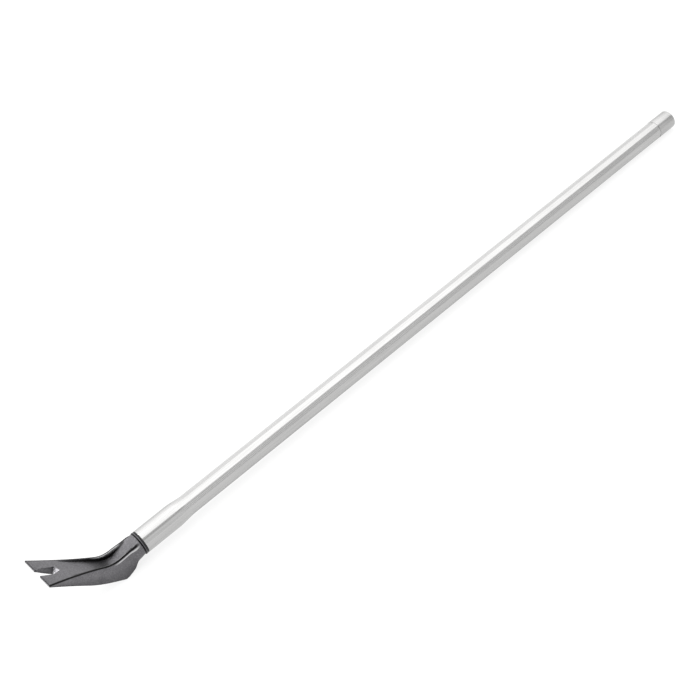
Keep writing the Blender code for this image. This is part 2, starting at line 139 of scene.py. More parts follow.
# Marks on the head's skin: painted shade, painted highlights and the shoulder bead's tone
CREASE_SHADE_WIDTH = 0.0027          # painted shade: dark line along the rims' outer crease
HOLLOW_REACH = 0.0220        # painted shade: darker length of the channel's floor ahead of the bend
BEAD_CORNER_SHADE = 0.0010           # painted shade: dark line in the corner where the neck meets the shoulder's bead
HIGHLIGHT_DROP = 0.0042         # below the crease, where a painted highlight runs along the neck's side
HIGHLIGHT_WIDTH = 0.0016
SLOT_SURROUND = 0.0020       # margin round the nail slot where no edge gets painted shade
WALL_INSET_SHARE = 0.8       # of a rim's width, from which the channel's wall gets painted shade
WALL_DROP = (0.0003, 0.0015)             # below the rim, where the wall's mark sets in
WALL_STEEPNESS = (0.45, 0.75)            # sideways part of the normal, where it sets in
WALL_FOOT = 1.2              # shares of the channel's depth where the wall's and the
HOLLOW_FOOT = 1.4            # hollow's marks have ended
INNER_LEAN = (0.05, 0.30)    # inward part of the normal, where the painted highlight on the rims' inner side sets in
INNER_HIGHLIGHT_DROP = (0.0018, 0.0028)     # below the rim, where it ends
INNER_HIGHLIGHT_END = (-0.034, -0.024)      # along X, where it ends

# Colours and finishes
CAST_COLOUR = (0.150, 0.147, 0.155)
CAST_DARK = (0.132, 0.129, 0.137)
CAST_LIGHT = (0.166, 0.163, 0.171)
# Colour of the painted highlights on the head's rims and neck
HIGHLIGHT_COLOUR = (0.50, 0.50, 0.505, 1.0)
TUBE_COLOUR = (0.485, 0.483, 0.480)
TUBE_ROUGHNESS = (0.16, 0.26)
CAP_COLOUR = (0.445, 0.443, 0.440)
CAP_ROUGHNESS = (0.22, 0.32)
CAP_STREAK = 1.4             # depth of the cap's streaks, against the tube's
NYLON_COLOUR = (0.012, 0.012, 0.013)
NYLON_DARK = (0.010, 0.010, 0.011)
NYLON_LIGHT = (0.018, 0.018, 0.019)
STEEL_COLOUR = (0.52, 0.52, 0.53)
STEEL_DARK = (0.46, 0.46, 0.47)
STEEL_LIGHT = (0.58, 0.58, 0.59)
GROOVE_SHADE_TONE = 0.55           # painted shade: the tube's tone at a groove's bottom

# Tone of the casting under each mark, as (mark's value, tone). All but the bead's mark are painted shade:
# darker towards the underside, near-black along edges, darker on the channel's floor and walls and along
# creases. The bead's mark is the shoulder bead's own darker tone.
CAST_MARK_TONES = {"height": ((0.0, 0.60), (0.6, 1.0)),
                   "edge": ((0.2, 1.0), (0.9, 0.18)),
                   "hollow": ((0.0, 1.0), (1.0, 0.42)),
                   "crease_shade": ((0.1, 1.0), (0.8, 0.08)),
                   "wall": ((0.1, 1.0), (0.8, 0.10)),
                   "bead": ((0.1, 1.0), (0.9, 0.85))}

# Camera: a view from above the front, over the head's end
CAMERA_PLACE = Vector((-0.8639, -1.3153, 1.3814))
CAMERA_HEADING = math.radians(30.07)     # from +Y towards +X
CAMERA_DIP = math.radians(40.88)
CAMERA_ROLL = math.radians(18.03)
LENS = 65.83
SENSOR_WIDTH = 36.0

# Light: the studio's brightness by angle from straight up, in degrees, towards the front
COVE = ((-180, 1.00), (-140, 0.90), (-112, 0.60), (-96, 0.80), (-84, 1.25), (-66, 1.62),
        (-50, 1.75), (-34, 2.12), (24, 2.12), (33, 0.82), (41, 0.56), (48, 0.70), (55, 1.14),
        (90, 0.94), (180, 0.95))
# Towards +X it dims: X parts of the direction between which it does, and its share left at each
COVE_FALLOFF = (0.50, 0.72, 1.0, 0.80)
RANGE_SOCKETS = ("From Min", "From Max", "To Min", "To Max")
SIDE_PANEL_BRIGHTNESS = 14.0
SIDE_PANEL_PLACE = Vector((-4.0, 0.95, 0.40))
SIDE_PANEL_WIDTH = 2.2
SIDE_PANEL_HEIGHT = 1.2
FLOOR_SIZE = 40.0
FLOOR_GLOW = 0.80            # the paper's own glow, which keeps shadows faint
FLOOR_TONE = 0.20

# Derived sizes
NECK_DIAMETER = COLLAR_DIAMETER - 2 * NECK_STEP
SHOULDER_DIAMETER = COLLAR_DIAMETER - 2 * SHOULDER_STEP
LINER_FLANGE_DIAMETER = COLLAR_DIAMETER - 2 * LINER_FLANGE_STEP
COLLAR_BORE_RADIUS = COLLAR_DIAMETER / 2 - TUBE_WALL
LINER_RADIUS = COLLAR_BORE_RADIUS - GAP
TANG_RADIUS = LINER_RADIUS - LINER_WALL - GAP
CAP_BORE_RADIUS = CAP_DIAMETER / 2 - CAP_WALL
LAND_RADIUS = CAP_BORE_RADIUS - GAP
LINER_FACE = -GAP
SHOULDER_FACE = LINER_FACE - LINER_FLANGE_THICKNESS - GAP
NECK_END = SHOULDER_FACE - SHOULDER_THICKNESS
TIP_X = -BEND_REACH - BLADE_LENGTH * math.cos(BLADE_SLOPE)
TIP_Z = RIM_HEIGHT + BLADE_LENGTH * math.sin(BLADE_SLOPE)
NOSE_X = TIP_X - EDGE_THICKNESS * math.sin(BLADE_SLOPE)
NOSE_Z = TIP_Z - EDGE_THICKNESS * math.cos(BLADE_SLOPE)
LAND_FRONT_X = -HEEL_REACH - HEEL_LAND
CHANNEL_START_X = TIP_X + CHANNEL_START * math.cos(BLADE_SLOPE)
BLADE_ALONG = Vector((math.cos(BLADE_SLOPE), 0, -math.sin(BLADE_SLOPE)))
BLADE_OUT = Vector((math.sin(BLADE_SLOPE), 0, math.cos(BLADE_SLOPE)))
REST_TILT = math.atan2(HEEL_DEPTH - CAP_DIAMETER / 2, HANDLE_LENGTH + HEEL_REACH)
FACET_TURN = 2 * math.pi / FACETS
FACET_REACH = TUBE_CORNER_DIAMETER / 2 * math.cos(FACET_TURN / 2)    # from the axis to a facet


def share_of(value, low, high):
    """0 below low, 1 above high, and straight between them."""
    return min(1.0, max(0.0, (value - low) / (high - low)))


def smooth(value, low, high):
    """0 below low, 1 above high, with a smooth S between them."""
    t = share_of(value, low, high)
    return t * t * (3 - 2 * t)


def tool_frame():
    """The tool frame's place in the world, from the CAD end cap's outer face and the floor."""
    cap_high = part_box("end_cap")[1]
    reach = HANDLE_LENGTH * math.cos(REST_TILT)
    reach += (CAP_DIAMETER / 2 - CAP_EDGE_RADIUS) * math.sin(REST_TILT)
    height = (HEEL_DEPTH - HEEL_REACH * math.tan(REST_TILT)) * math.cos(REST_TILT)
    place = Matrix.Translation((cap_high.x - reach, 0, height))
    return place @ Matrix.Rotation(REST_TILT, 4, "Y")


# ---------------------------------------------------------------- mesh helpers

def finish_mesh(name, shape, smooth_angle=35):
    """Turn a bmesh into an object in the tool frame, with its faces out."""
    bmesh.ops.recalc_face_normals(shape, faces=shape.faces)
    mesh = bpy.data.meshes.new(name)
    shape.to_mesh(mesh)
    shape.free()
    mesh.shade_smooth()
    mesh.set_sharp_from_angle(angle=math.radians(smooth_angle))
    piece = bpy.data.objects.new(name, mesh)
    bpy.context.scene.collection.objects.link(piece)
    return piece


def apply_modifiers(piece):
    """Leave the piece with its finished mesh and no modifiers."""
    seen = bpy.context.evaluated_depsgraph_get()
    finished = bpy.data.meshes.new_from_object(piece.evaluated_get(seen))
    piece.modifiers.clear()
    old = piece.data
    piece.data = finished
    bpy.data.meshes.remove(old)


def bridge(shape, rings):
    """Skin a list of closed vertex rings of equal length."""
    for ring, following in zip(rings, rings[1:]):
        for i in range(len(ring)):
            j = (i + 1) % len(ring)
            shape.faces.new((ring[i], ring[j], following[j], following[i]))


def loft(shape, sections):
    """Skin closed sections and close both ends with a flat face."""
    rings = [[shape.verts.new(point) for point in section] for section in sections]
    bridge(shape, rings)
    shape.faces.new(rings[0])
    shape.faces.new(rings[-1])


def turned(shape, profile, segments, place):
    """Turn a closed profile of (along, radius) points round an axis; place sets each point."""
    rings = []
    for k in range(segments):
        angle = 2 * math.pi * k / segments
        rings.append([shape.verts.new(place(along, radius, angle)) for along, radius in profile])
    bridge(shape, rings + rings[:1])


def round_bar(shape, profile, segments, place):
    """Turn an open profile whose two ends are closed by flat discs."""
    loft(shape, [[place(along, radius, 2 * math.pi * k / segments) for k in range(segments)]
                 for along, radius in profile])


def quarter_round(along, radius, size, start, end, steps=4):
    """Points (along, radius) of a rounded edge about a centre, from angle start to end in degrees."""
    points = []
    for k in range(steps + 1):
        angle = math.radians(start + (end - start) * k / steps)
        points.append((along + size * math.cos(angle), radius + size * math.sin(angle)))
    return points


def along_x(along, radius, angle):
    """Places a turned profile on the handle's axis; angle is measured from -Z towards -Y."""
    return Vector((along, -radius * math.sin(angle), -radius * math.cos(angle)))


def down_at(reach):
    """Places a turned profile on a line straight down through the handle at reach."""
    def place(along, radius, angle):
        return Vector((reach + radius * math.cos(angle), radius * math.sin(angle), -along))
    return place


def cut(piece, cutter):
    """Take cutter out of piece and remove the cutter."""
    boolean = piece.modifiers.new("cut", "BOOLEAN")
    boolean.operation = "DIFFERENCE"
    boolean.solver = "EXACT"
    boolean.object = cutter
    apply_modifiers(piece)
    bpy.data.objects.remove(cutter, do_unlink=True)


# ---------------------------------------------------------------- head

def rim_height(x):
    """Height of the rims: the blade's slope, the bend's arc, then level along the neck."""
    tangent = BEND_RADIUS * math.tan(BLADE_SLOPE / 2)
    ahead = -BEND_REACH - x
    if ahead >= tangent * math.cos(BLADE_SLOPE):
        return RIM_HEIGHT + ahead * math.tan(BLADE_SLOPE)
    if ahead <= -tangent:
        return RIM_HEIGHT
    return RIM_HEIGHT + BEND_RADIUS - math.sqrt(BEND_RADIUS ** 2 - (ahead + tangent) ** 2)


def underside_height(x):
    """Height of the underside: straight, then the rocker's arc, the rest land and the heel's back."""
    flat_end_x = NOSE_X + UNDERSIDE_FLAT * math.cos(UNDERSIDE_SLOPE)
    if x <= flat_end_x:
        return NOSE_Z - (x - NOSE_X) * math.tan(UNDERSIDE_SLOPE)
    if x < LAND_FRONT_X:
        return rocker_height(x, flat_end_x, NOSE_Z - UNDERSIDE_FLAT * math.sin(UNDERSIDE_SLOPE))
    if x <= -HEEL_REACH:
        return land_height(x)
    t = min(1.0, (x + HEEL_REACH) / (HEEL_REACH - NECK_REACH))
    return land_height(-HEEL_REACH) * (1 - t) - neck_radius(x) * t


def belly_crown(x):
    """The underside is flat across at the front edge and at the rest land, and bulges between."""
    grow = smooth(x, NOSE_X, NOSE_X + BELLY_START)
    return BELLY_CROWN * grow * (1 - smooth(x, 2 * LAND_FRONT_X, LAND_FRONT_X))


def land_height(x):
    """The rest land lies in the plane that also touches the end cap."""
    return -HEEL_DEPTH + (x + HEEL_REACH) * math.tan(REST_TILT)


def rocker_height(x, start_x, start_z):
    """An arc that leaves the straight underside tangentially and ends at the rest land."""
    step_x = LAND_FRONT_X - start_x
    step_z = land_height(LAND_FRONT_X) - start_z
    off_line = step_x * math.sin(UNDERSIDE_SLOPE) + step_z * math.cos(UNDERSIDE_SLOPE)
    radius = (step_x ** 2 + step_z ** 2) / (2 * off_line)
    centre_x = start_x + radius * math.sin(UNDERSIDE_SLOPE)
    centre_z = start_z + radius * math.cos(UNDERSIDE_SLOPE)
    return centre_z - math.sqrt(radius ** 2 - (x - centre_x) ** 2)


def neck_radius(x):
    """The neck is slimmest at the shoulder and swells a little towards the heel."""
    swell = 0.5 * (SHOULDER_DIAMETER - NECK_DIAMETER)
    return NECK_DIAMETER / 2 + swell * smooth(-x, -NECK_END, NECK_REACH)


def half_width(x):
    """Half the width over the rims: a flared blade, then the waist, then the neck's flat top."""
    blade_share = min(1.0, (x - TIP_X) / (-BEND_REACH - TIP_X))
    flare = (BLADE_WIDTH - WAIST_WIDTH) / 2 * (1 - blade_share) ** FLARE_POWER
    flat_top = math.sqrt(neck_radius(x) ** 2 - RIM_HEIGHT ** 2)
    to_neck = smooth(x, -HEEL_REACH, -NECK_REACH)
    return (WAIST_WIDTH / 2 + flare) * (1 - to_neck) + flat_top * to_neck


def channel_depth(x):
    """The floor falls away slowly behind the slot and rises again before the shoulder."""
    fall = share_of(x, CHANNEL_START_X, -BEND_REACH)
    rise = share_of(x, -CHANNEL_END_REACH - CHANNEL_RUNOUT, -CHANNEL_END_REACH)
    return CHANNEL_DEPTH * fall * (1 - rise)


def head_half_section(x, floor_steps=6, wall_steps=8, side_steps=40):
    """Points (y, z) from the top's middle round one side to the underside's middle."""
    top = rim_height(x)
    bottom = underside_height(x)
    outer = half_width(x)
    inner = outer - RIM_WIDTH
    depth = channel_depth(x)
    radius = neck_radius(x)
    round_top = smooth(x, -NECK_REACH, NECK_END)
    round_side = smooth(x, -(HEEL_REACH + NECK_REACH) / 2, -NECK_REACH)

    def crowned(y, z):
        crown = math.sqrt(max(0.0, radius ** 2 - y ** 2)) - RIM_HEIGHT
        return (y, z + round_top * crown)

    floor_half = inner - CHANNEL_WALL_RUN
    points = [crowned(k / floor_steps * floor_half, top - depth) for k in range(floor_steps)]
    for k in range(wall_steps + 1):
        share = k / wall_steps
        y = inner - CHANNEL_WALL_RUN * (1 - share)
        points.append(crowned(y, top - depth * (1 - smooth(share, 0, 1))))
    points.append((outer, top))

    start = math.asin(min(1.0, RIM_HEIGHT / radius))
    for k in range(1, side_steps + 1):
        share = k / side_steps
        boxed = boxed_side(share, outer, top, bottom, belly_crown(x))
        angle = start - share * (start + math.pi / 2)
        drop = radius if angle > 0 else -bottom
        rounded = (radius * math.cos(angle), drop * math.sin(angle))
        points.append(tuple(a * (1 - round_side) + b * round_side for a, b in zip(boxed, rounded)))
    return points


def boxed_side(share, outer, top, bottom, crown):
    """A point on a straight side wall, its rounded lower edge and the crowned underside."""
    wall_share, edge_share = 0.3, 0.5
    radius = min(LOWER_EDGE_RADIUS, (top - bottom) / 3)
    if share <= wall_share:
        return (outer, top + (bottom + radius - top) * share / wall_share)
    if share <= edge_share:
        angle = (share - wall_share) / (edge_share - wall_share) * math.pi / 2
        return (outer - radius * (1 - math.cos(angle)), bottom + radius * (1 - math.sin(angle)))
    across = (1 - share) / (1 - edge_share)
    return ((outer - radius) * across, bottom - crown * (1 - across ** 2))


def head_stations():
    """Places along X where the head's section is taken, from just ahead of the front face."""
    knots = (NOSE_X - NOSE_SPARE, CHANNEL_START_X, LAND_FRONT_X, -HEEL_REACH, -NECK_REACH, NECK_END)
    stations = [knots[0]]
    for low, high in zip(knots, knots[1:]):
        steps = max(1, round((high - low) / HEAD_STEP))
        stations += [low + (high - low) * k / steps for k in range(1, steps + 1)]
    return stations


def mirrored_section(x, half):
    """A closed section from its right half, whose first and last points are on the middle."""
    right = [Vector((x, y, z)) for y, z in half]
    left = [Vector((x, -y, z)) for y, z in half[-2:0:-1]]
    return right + left


def make_blade_cutter(outline, rises):
    """A prism square to the blade's upper face; outline holds (along, across) from the edge's middle."""
    tip = Vector((TIP_X, 0, TIP_Z))
    shape = bmesh.new()
    loft(shape, [[tip + BLADE_ALONG * u + BLADE_OUT * rise + Vector((0, v, 0)) for u, v in outline]
                 for rise in rises])
    return finish_mesh("cutter", shape)


def make_slot_cutter():
    """The nail slot, narrower at its mouth, cut from above the blade to below its underside."""
    ahead = -CUTTER_REACH
    outline = [(ahead, SLOT_CORNERS[0][1]), *SLOT_CORNERS, (ahead, SLOT_CORNERS[-1][1])]
    return make_blade_cutter(outline, (CUTTER_REACH, -BLADE_WIDTH))


def make_front_cutter():
    """Everything ahead of the blunt front face."""
    across = BLADE_WIDTH
    outline = ((0.0, -across), (0.0, across), (-CUTTER_REACH, across), (-CUTTER_REACH, -across))
    return make_blade_cutter(outline, (CUTTER_REACH, -CUTTER_REACH))


def make_rivet_hole_cutter():
    """Both rivet holes, from outside the collar to the bottom of the holes in the tang."""
    shape = bmesh.new()
    bottom = TANG_RADIUS - RIVET_DEPTH - GAP
    radius = RIVET_SHANK_DIAMETER / 2 + GAP
    profile = ((COLLAR_DIAMETER / 2 + HOLE_SPARE, radius), (bottom, radius))
    for reach in RIVET_REACHES.values():
        round_bar(shape, profile, RIVET_SEGMENTS, down_at(reach))
    return finish_mesh("cutter", shape)


def make_head():
    """Blade, heel, neck, shoulder and tang in one casting with softened edges."""
    sections = [mirrored_section(x, head_half_section(x)) for x in head_stations()]
    count = len(sections[0])
    angles = [math.atan2(-p.y, -p.z) for p in sections[-1]]
    for x, radius in ((NECK_END, SHOULDER_DIAMETER / 2), (SHOULDER_FACE, SHOULDER_DIAMETER / 2),
                      (SHOULDER_FACE, TANG_RADIUS), (TANG_LENGTH, TANG_RADIUS)):
        sections.append([along_x(x, radius, angles[k]) for k in range(count)])
    shape = bmesh.new()
    loft(shape, sections)
    head = finish_mesh("forked_head", shape)
    cut(head, make_slot_cutter())
    cut(head, make_front_cutter())
    cut(head, make_rivet_hole_cutter())
    skin = head.modifiers.new("cast_skin", "REMESH")
    skin.mode = "VOXEL"
    skin.voxel_size = CAST_GRID
    skin.use_smooth_shade = True
    soften = head.modifiers.new("soften", "SMOOTH")
    soften.factor = CAST_SMOOTHING_SHARE
    soften.iterations = CAST_SMOOTHING
    apply_modifiers(head)
    head.data.shade_smooth()
    mark_edges(head.data)
    mark_head(head.data)
    return head


def add_mark(mesh, name, values):
    """Store one value per vertex for a material to read."""
    mark = mesh.attributes.new(name, "FLOAT", "POINT")
    mark.data.foreach_set("value", values.astype(np.float32))


def mark_edges(mesh):
    """Store how sharply the skin turns at each vertex: 0 where flat, 1 on an edge or crease; the casting's
    material paints shade along these.
    """
    places = np.empty(len(mesh.vertices) * 3)
    mesh.vertices.foreach_get("co", places)
    places = places.reshape(-1, 3)
    normals = np.empty(len(mesh.vertices) * 3)
    mesh.vertices.foreach_get("normal", normals)
    normals = normals.reshape(-1, 3)
    edges = np.empty(len(mesh.edges) * 2, int)
    mesh.edges.foreach_get("vertices", edges)
    one, other = edges.reshape(-1, 2).T
    step = places[other] - places[one]
    turn = ((normals[other] - normals[one]) * step).sum(1) / (step * step).sum(1)
    count = len(places)
    neighbours = np.bincount(one, minlength=count) + np.bincount(other, minlength=count)

    def around(at_one, at_other):
        """Mean over each vertex's edges, whose values are given for their two ends."""
        total = np.bincount(one, at_one, count) + np.bincount(other, at_other, count)
        return total / np.maximum(neighbours, 1)

    sharp = np.clip((np.abs(around(turn, turn)) - EDGE_TURN) / EDGE_TURN, 0, 1)
    sharp[in_slot(places)] = 0
    for _ in range(EDGE_SPREAD):
        sharp = np.maximum(sharp, around(sharp[other], sharp[one]))
    add_mark(mesh, "edge", sharp)


def in_slot(places):
    """Which points lie in the nail slot's part of the blade, away from its rims and front edge."""
    along = (places[:, 0] - TIP_X) * BLADE_ALONG.x + (places[:, 2] - TIP_Z) * BLADE_ALONG.z
    reach = max(u for u, _ in SLOT_CORNERS) + SLOT_SURROUND
    half = max(abs(v) for _, v in SLOT_CORNERS) + SLOT_SURROUND
    return (along > SLOT_SURROUND) & (along < reach) & (np.abs(places[:, 1]) < half)


def mark_head(mesh):
    """Store where painted shade goes on the channel's steep walls, its floor by the bend and the rims'
    crease, where painted highlights go, where the shoulder's bead is, and each point's height.
    """
    marks = {"wall": [], "hollow": [], "crease_shade": [], "painted_highlight": [], "bead": [], "height": []}
    for vertex in mesh.vertices:
        x, y, z = vertex.co
        top, bottom = rim_height(x), underside_height(min(x, NECK_END))
        inset, drop = half_width(x) - abs(y), top - z
        # Painted shade on the channel's steep inner walls, less where the rims' inner side carries its
        # painted highlight
        walled = share_of(x, CHANNEL_START_X, CHANNEL_START_X + CHANNEL_WALL_RUN)
        inside = smooth(inset, WALL_INSET_SHARE * RIM_WIDTH, RIM_WIDTH) * walled
        deep = smooth(drop, *WALL_DROP) * (1 - smooth(drop, CHANNEL_DEPTH, WALL_FOOT * CHANNEL_DEPTH))
        steep = smooth(abs(vertex.normal.y), *WALL_STEEPNESS)
        # Painted highlight on the rims' inner side, from the bend back towards the neck
        lean = smooth(-vertex.normal.y * math.copysign(1, y), *INNER_LEAN)
        inner = lean * smooth(inset, CREASE_SHADE_WIDTH / 2, CREASE_SHADE_WIDTH) * (1 - smooth(drop, *INNER_HIGHLIGHT_DROP))
        inner *= smooth(x, -BEND_REACH - BEND_RADIUS / 2, -BEND_REACH) * (1 - smooth(x, *INNER_HIGHLIGHT_END))
        marks["wall"].append(inside * deep * steep * (1 - inner))
        # Painted shade on the channel's floor ahead of the bend
        from_hollow = abs(x + BEND_REACH + HOLLOW_REACH / 2)
        near_bend = 1 - smooth(from_hollow, HOLLOW_REACH / 4, HOLLOW_REACH)
        under = smooth(drop, WALL_FOOT * CHANNEL_DEPTH, HOLLOW_FOOT * CHANNEL_DEPTH)
        marks["hollow"].append(near_bend * smooth(inset, CREASE_SHADE_WIDTH, 2 * CREASE_SHADE_WIDTH) * (1 - under))
        # Painted shade along the rims' outer crease and in the corner where the neck meets the shoulder's
        # bead
        crease_shade = 1 - smooth(math.hypot(inset, drop), CREASE_SHADE_WIDTH / 2, CREASE_SHADE_WIDTH)
        bead_corner_shade = 1 - smooth(abs(x - NECK_END - BEAD_CORNER_SHADE / 4), BEAD_CORNER_SHADE / 2, BEAD_CORNER_SHADE)
        marks["crease_shade"].append(max(crease_shade * (1 - smooth(x, -NECK_REACH, NECK_END)), bead_corner_shade))
        marks["bead"].append(smooth(x, NECK_END - BEAD_CORNER_SHADE, NECK_END))
        # Painted highlight along the neck's side below the crease
        from_highlight = abs(math.hypot(inset, drop) - HIGHLIGHT_DROP)
        painted_highlight = 1 - smooth(from_highlight, HIGHLIGHT_WIDTH / 2, HIGHLIGHT_WIDTH)
        on_side = smooth(drop, 0.0, HIGHLIGHT_DROP / 2) * (1 - smooth(inset, 0.0, 2 * CREASE_SHADE_WIDTH))
        painted_highlight *= on_side * smooth(x, -BEND_REACH, -HEEL_REACH)
        marks["painted_highlight"].append(max(painted_highlight, inner) * (1 - smooth(x, -NECK_REACH, NECK_END)))
        # Height over the underside, by which the material paints the lower side darker as shade
        marks["height"].append((z - bottom) / (top - bottom))
    for name, values in marks.items():
        add_mark(mesh, name, np.clip(np.array(values), 0, 1))


# ---------------------------------------------------------------- handle

def ribbed_outline():
    """One turn of the ribbed outline as (angle, radius, groove depth), with rounded corners."""
    corner_steps, groove_steps, crown_steps = 3, 8, 6
    corner_centre = (FACET_REACH - CORNER_ROUNDING) / math.cos(FACET_TURN / 2)
    half = (FACET_REACH - CORNER_ROUNDING) * math.tan(FACET_TURN / 2)
    points = []
    for facet in range(FACETS):
        start = FACET_START + facet * FACET_TURN
        for k in range(corner_steps + 1):
            turn = (k / corner_steps - 0.5) * FACET_TURN
            across = CORNER_ROUNDING * math.sin(turn)
            out = corner_centre + CORNER_ROUNDING * math.cos(turn)
            points.append((start + math.atan2(across, out), math.hypot(across, out), 0.0))
        offsets = []
        if facet % 2:
            for groove in range(GROOVES_PER_FACET):
                centre = (groove - (GROOVES_PER_FACET - 1) / 2) * GROOVE_PITCH
                for k in range(groove_steps + 1):
                    share = k / groove_steps
                    depth = GROOVE_DEPTH * (1 - math.cos(2 * math.pi * share)) / 2
                    offsets.append((centre + GROOVE_WIDTH * (share - 0.5), 0.0, depth))
        else:
            for k in range(1, crown_steps):
                offset = (2 * k / crown_steps - 1) * half
                offsets.append((offset, PLAIN_FACET_CROWN * (1 - (offset / half) ** 2), 0.0))
        for offset, bulge, depth in offsets:
            out = FACET_REACH + bulge
            angle = start + FACET_TURN / 2 + math.atan2(offset, out)
            points.append((angle, math.hypot(offset, out), depth))
    return points


def around_x(x, radius, angle):
    """A point of the tube; angle is measured from +Z towards -Y."""
    return Vector((x, -radius * math.sin(angle), radius * math.cos(angle)))


def tube_ring(outline, x, round_radius, ribbed, inset=0.0):
    """A ring that is round for ribbed 0 and follows the ribbed outline, less inset, for 1."""
    ring = []
    for angle, radius, depth in outline:
        ribbed_radius = radius - inset - (depth if inset == 0 else 0.0)
        ring.append(around_x(x, round_radius * (1 - ribbed) + ribbed_radius * ribbed, angle))
    return ring


def mark_grooves(mesh):
    """Store how near each outer point is to the middle of a groove, where the material paints shade."""
    marks = []
    for vertex in mesh.vertices:
        x, y, z = vertex.co
        facet, turn = divmod((math.atan2(-y, z) - FACET_START) % (2 * math.pi), FACET_TURN)
        across = FACET_REACH * math.tan(turn - FACET_TURN / 2)
        near = min(abs(across - (k - (GROOVES_PER_FACET - 1) / 2) * GROOVE_PITCH)
                   for k in range(GROOVES_PER_FACET))
        ribbed = smooth(x, COLLAR_STRAIGHT + COLLAR_TAPER / 2, COLLAR_STRAIGHT + COLLAR_TAPER)
        outer = math.hypot(y, z) > FACET_REACH - TUBE_WALL / 2
        marks.append((facet % 2) * outer * ribbed * (1 - share_of(near, 0.0, GROOVE_WIDTH / 2)))
    add_mark(mesh, "groove", np.array(marks))


def make_tube():
    """Drawn tube: round collar, ribbed length, and a reduced round land under the end cap."""
    taper_steps = 28
    outline = ribbed_outline()
    shoulder = HANDLE_LENGTH - CAP_LENGTH - GAP
    tube_end = HANDLE_LENGTH - CAP_END_THICKNESS - GAP
    outer_radius = COLLAR_DIAMETER / 2
    edge = COLLAR_EDGE_RADIUS
    mouth = quarter_round(edge, COLLAR_BORE_RADIUS + edge, edge, 270, 180)
    mouth += quarter_round(edge, outer_radius - edge, edge, 180, 90)
    outer = [tube_ring(outline, x, radius, 0) for x, radius in mouth]
    inner = []
    for k in range(taper_steps + 1):
        share = k / taper_steps
        x = COLLAR_STRAIGHT + COLLAR_TAPER * share
        outer.append(tube_ring(outline, x, outer_radius, smooth(share, 0, 1)))
        inner.append(tube_ring(outline, x, COLLAR_BORE_RADIUS, smooth(share, 0, 1), TUBE_WALL))
    outer += [tube_ring(outline, shoulder, 0, 1), tube_ring(outline, shoulder, LAND_RADIUS, 0),
              tube_ring(outline, tube_end, LAND_RADIUS, 0)]
    land_bore = LAND_RADIUS - CAP_WALL
    inner += [tube_ring(outline, shoulder - BORE_STEP[0], 0, 1, TUBE_WALL),
              tube_ring(outline, shoulder - BORE_STEP[1], land_bore, 0),
              tube_ring(outline, tube_end, land_bore, 0)]
    shape = bmesh.new()
    skin = [[shape.verts.new(point) for point in ring] for ring in outer + inner[::-1]]
    bridge(shape, skin + skin[:1])
    tube = finish_mesh("ribbed_tube", shape)
    cut(tube, make_rivet_hole_cutter())
    mark_grooves(tube.data)
    return tube


def make_liner():
    """Flanged sleeve between tang and collar; its flange shows as the ring at the shoulder."""
    bore = TANG_RADIUS + GAP
    edge = 0.0003
    back = LINER_FACE - LINER_FLANGE_THICKNESS
    rim = LINER_FLANGE_DIAMETER / 2 - edge
    profile = [(back, bore)]
    profile += quarter_round(back + edge, rim, edge, 180, 90)
    profile += quarter_round(LINER_FACE - edge, rim, edge, 90, 0)
    profile += [(LINER_FACE, LINER_RADIUS), (LINER_LENGTH, LINER_RADIUS), (LINER_LENGTH, bore)]
    shape = bmesh.new()
    turned(shape, profile, TURNED_SEGMENTS, along_x)
    liner = finish_mesh("shoulder_ring", shape)
    cut(liner, make_rivet_hole_cutter())
    return liner


def make_end_cap():
    """Skirted cap pushed over the tube's reduced end, with a rounded outer edge."""
    outer = CAP_DIAMETER / 2
    mouth = HANDLE_LENGTH - CAP_LENGTH
    profile = [(HANDLE_LENGTH - CAP_END_THICKNESS, CAP_BORE_RADIUS), (mouth, CAP_BORE_RADIUS)]
    profile += quarter_round(mouth + GAP, outer - GAP, GAP, 180, 90)
    profile += quarter_round(HANDLE_LENGTH - CAP_EDGE_RADIUS, outer - CAP_EDGE_RADIUS,
                             CAP_EDGE_RADIUS, 90, 0, steps=8)
    shape = bmesh.new()
    round_bar(shape, profile, TURNED_SEGMENTS, along_x)
    return finish_mesh("handle_cap", shape)


# ---------------------------------------------------------------- rivets

def make_rivet(place, reach):
    """A blind rivet's domed body outside the collar, with its hollow shank."""
    seat = COLLAR_DIAMETER / 2 + GAP
    bore = MANDREL_DIAMETER / 2 + GAP
    head = RIVET_HEAD_DIAMETER / 2
    shank_end = TANG_RADIUS - RIVET_DEPTH
    lip = 0.0002
    dome_steps = 10
    shank = RIVET_SHANK_DIAMETER / 2
    profile = [(shank_end, bore), (shank_end, shank), (seat, shank), (seat, head - lip), (seat + lip, head)]
    for k in range(1, dome_steps + 1):
        share = k / dome_steps
        radius = head - (head - bore - lip) * share
        rise = (RIVET_HEAD_HEIGHT - lip) * math.sin(share * math.pi / 2)
        profile.append((seat + lip + rise, radius))
    profile.append((seat + RIVET_HEAD_HEIGHT - lip, bore))
    shape = bmesh.new()
    turned(shape, profile, RIVET_SEGMENTS, down_at(reach))
    return finish_mesh("rivet_" + place, shape)


def make_mandrel(place, reach):
    """The pin left inside a rivet once it is pulled, with a ragged dished break."""
    outside = COLLAR_DIAMETER / 2 + GAP + RIVET_HEAD_HEIGHT - MANDREL_RECESS
    radius = MANDREL_DIAMETER / 2
    profile = [(TANG_RADIUS - RIVET_DEPTH, radius)]
    profile += [(outside - depth, share * radius) for depth, share in MANDREL_BREAK]
    shape = bmesh.new()
    round_bar(shape, profile, RIVET_SEGMENTS, down_at(reach))
    return finish_mesh("rivet_pin_" + place, shape)


# ---------------------------------------------------------------- materials

